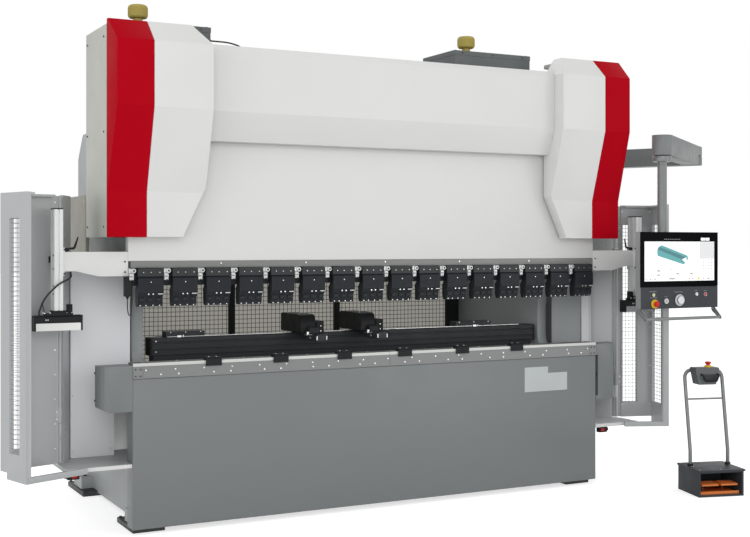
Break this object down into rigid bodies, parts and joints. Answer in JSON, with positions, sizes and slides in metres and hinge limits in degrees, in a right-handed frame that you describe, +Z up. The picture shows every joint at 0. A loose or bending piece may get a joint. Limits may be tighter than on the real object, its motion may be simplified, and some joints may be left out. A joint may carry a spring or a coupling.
{
  "type": "press brake",
  "caption": "Hydraulic press brake with a ram, back gauge, laser arms, hinged side guards, operator's pendant and foot console.",
  "frame": {"origin": "under the middle of the front left foot plate, on the floor", "axes": "+X right along the bed, +Y to the back, +Z up"},
  "size_m": [4.9365, 2.3573, 2.86],
  "materials": {
    "bed_grey": "satin enamel",
    "rail_grey": "satin enamel",
    "die_steel": "ground",
    "red_enamel": "gloss enamel",
    "white_enamel": "satin enamel",
    "pale_enamel": "satin enamel",
    "guard_grey": "satin enamel",
    "wire": "galvanised",
    "charcoal": "fine textured enamel",
    "black_steel": "blackened",
    "aluminium": "anodised",
    "black_lead": "matt",
    "pedal_orange": "satin enamel"
  },
  "bodies": {
    "machine": {"left_side_frame": "bed_grey", "right_side_frame": "bed_grey", "bed_plate": "bed_grey", "table_rail": "rail_grey", "die_strip": "die_steel", "left_bed_cover": "bed_grey", "right_bed_cover": "bed_grey", "lower_tie": "bed_grey", "oil_tank": "bed_grey", "top_beam": "bed_grey", "left_red_cover": "red_enamel", "right_red_cover": "red_enamel", "left_white_cover": "white_enamel", "right_white_cover": "white_enamel", "centre_cover": "white_enamel", "left_side_cover": "pale_enamel", "right_side_cover": "pale_enamel", "left_valve_box": "charcoal", "right_valve_box": "charcoal", "left_shelf": "guard_grey", "right_shelf": "guard_grey", "left_side_fence": "guard_grey", "right_side_fence": "guard_grey", "left_end_panel": "white_enamel", "rear_fence": "guard_grey", "rear_mesh": "wire", "pendant_bracket": "charcoal", "console_base": "charcoal", "console_hoop": "guard_grey", "console_box": "charcoal"},
    "ram": {"ram_plate": "white_enamel", "ram_strip": "rail_grey", "punch_holders": "black_steel", "left_ram_arm": "white_enamel", "right_ram_arm": "white_enamel", "left_laser_rail": "aluminium", "right_laser_rail": "aluminium", "left_laser_unit": "black_steel", "right_laser_unit": "black_steel", "laser_lead": "black_lead"},
    "carriage": {"gauge_carriage": "charcoal"},
    "gauge_lifter": {"gauge_beam": "black_steel"},
    "left_stop": {"left_finger": "black_steel"},
    "right_stop": {"right_finger": "black_steel"},
    "left_door": {"left_guard": "guard_grey", "left_back_mesh": "wire", "left_side_mesh": "wire"},
    "right_door": {"right_guard": "guard_grey", "right_back_mesh": "wire", "right_side_mesh": "wire"},
    "inner_link": {"pendant_inner_arm": "charcoal"},
    "outer_link": {"pendant_outer_arm": "charcoal"},
    "pendant_head": {"pendant_tube": "guard_grey", "pendant_case": "charcoal", "pendant_handle": "guard_grey"},
    "left_treadle": {"left_pedal": "pedal_orange"},
    "right_treadle": {"right_pedal": "pedal_orange"}
  },
  "joints": [
    {"name": "ram_stroke", "type": "slide", "parent": "machine", "child": "ram", "axis": [0, 0, -1], "range_m": [0, 0.25]},
    {"name": "gauge_depth", "type": "slide", "parent": "machine", "child": "carriage", "axis": [0, 1, 0], "range_m": [0, 0.55]},
    {"name": "gauge_lift", "type": "slide", "parent": "carriage", "child": "gauge_lifter", "axis": [0, 0, 1], "range_m": [0, 0.15]},
    {"name": "left_finger_slide", "type": "slide", "parent": "gauge_lifter", "child": "left_stop", "axis": [1, 0, 0], "range_m": [-0.55, 0.1]},
    {"name": "right_finger_slide", "type": "slide", "parent": "gauge_lifter", "child": "right_stop", "axis": [1, 0, 0], "range_m": [-0.1, 0.55]},
    {"name": "left_guard_swing", "type": "hinge", "parent": "machine", "child": "left_door", "pos_m": [-0.45, -0.02, 1], "axis": [0, 0, 1], "range_deg": [-95, 0]},
    {"name": "right_guard_swing", "type": "hinge", "parent": "machine", "child": "right_door", "pos_m": [3.27, -0.02, 1], "axis": [0, 0, 1], "range_deg": [0, 95]},
    {"name": "pendant_swing", "type": "hinge", "parent": "machine", "child": "inner_link", "pos_m": [3.45, 1.24, 2.18], "axis": [0, 0, 1], "range_deg": [0, 60]},
    {"name": "pendant_elbow", "type": "hinge", "parent": "inner_link", "child": "outer_link", "pos_m": [4.1, 0.15, 2.18], "axis": [0, 0, 1], "range_deg": [0, 90]},
    {"name": "pendant_swivel", "type": "hinge", "parent": "outer_link", "child": "pendant_head", "pos_m": [3.26, -0.49, 2.11], "axis": [0, 0, 1], "range_deg": [-90, 10]},
    {"name": "left_pedal_press", "type": "hinge", "parent": "machine", "child": "left_treadle", "pos_m": [3.3683, -0.6862, 0.046], "axis": [0.9637, -0.267, 0], "range_deg": [0, 6], "stiffness_Nm_per_rad": 60, "springref_deg": -3.44},
    {"name": "right_pedal_press", "type": "hinge", "parent": "machine", "child": "right_treadle", "pos_m": [3.4916, -0.7204, 0.046], "axis": [0.9637, -0.267, 0], "range_deg": [0, 6], "stiffness_Nm_per_rad": 60, "springref_deg": -3.44}
  ]
}
